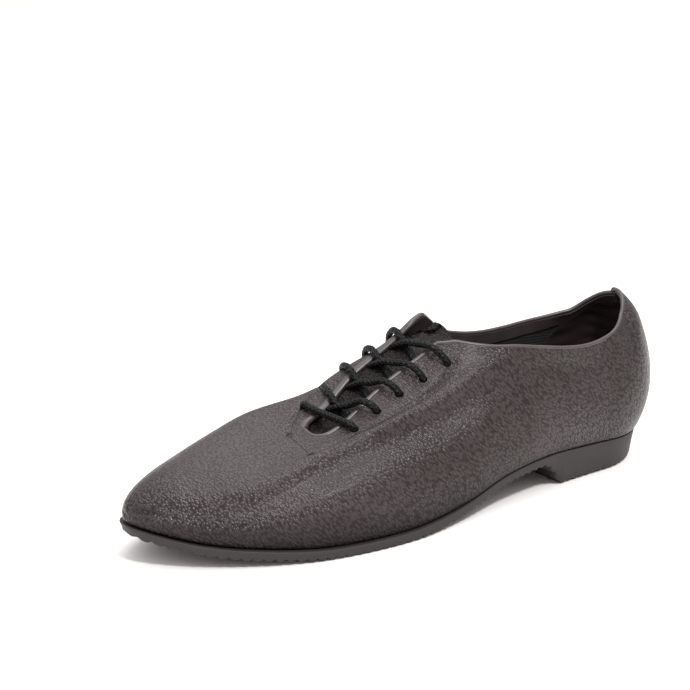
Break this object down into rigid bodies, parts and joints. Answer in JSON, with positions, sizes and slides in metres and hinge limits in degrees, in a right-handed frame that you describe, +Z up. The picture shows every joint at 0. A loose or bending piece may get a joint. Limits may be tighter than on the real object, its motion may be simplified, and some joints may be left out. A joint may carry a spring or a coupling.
{
  "type": "jazz shoe",
  "caption": "Low laced leather jazz shoe for the left foot: hollow whole-cut upper, tongue and insole on a thin ribbed rubber sole with a low moulded heel.",
  "frame": {"origin": "middle of the bottom of the shoe's box, on the floor", "axes": "+Y towards the toe, +X towards the wearer's right, which is the inner side of this left shoe, +Z up"},
  "size_m": [0.0918, 0.2742, 0.0845],
  "materials": {
    "rubber_sole": "satin moulded rubber",
    "upper_leather": "fine pebble grain",
    "lining_cloth": "matt ribbed cloth",
    "lace_cord": "matt braided cord"
  },
  "bodies": {
    "root": {"outsole": "rubber_sole", "upper": "upper_leather", "insole": "lining_cloth", "tongue": "upper_leather", "lace_bar": "lace_cord", "lace_cross_2": "lace_cord", "lace_cross_3": "lace_cord", "lace_cross_4": "lace_cord", "lace_cross_5": "lace_cord"}
  },
  "joints": []
}
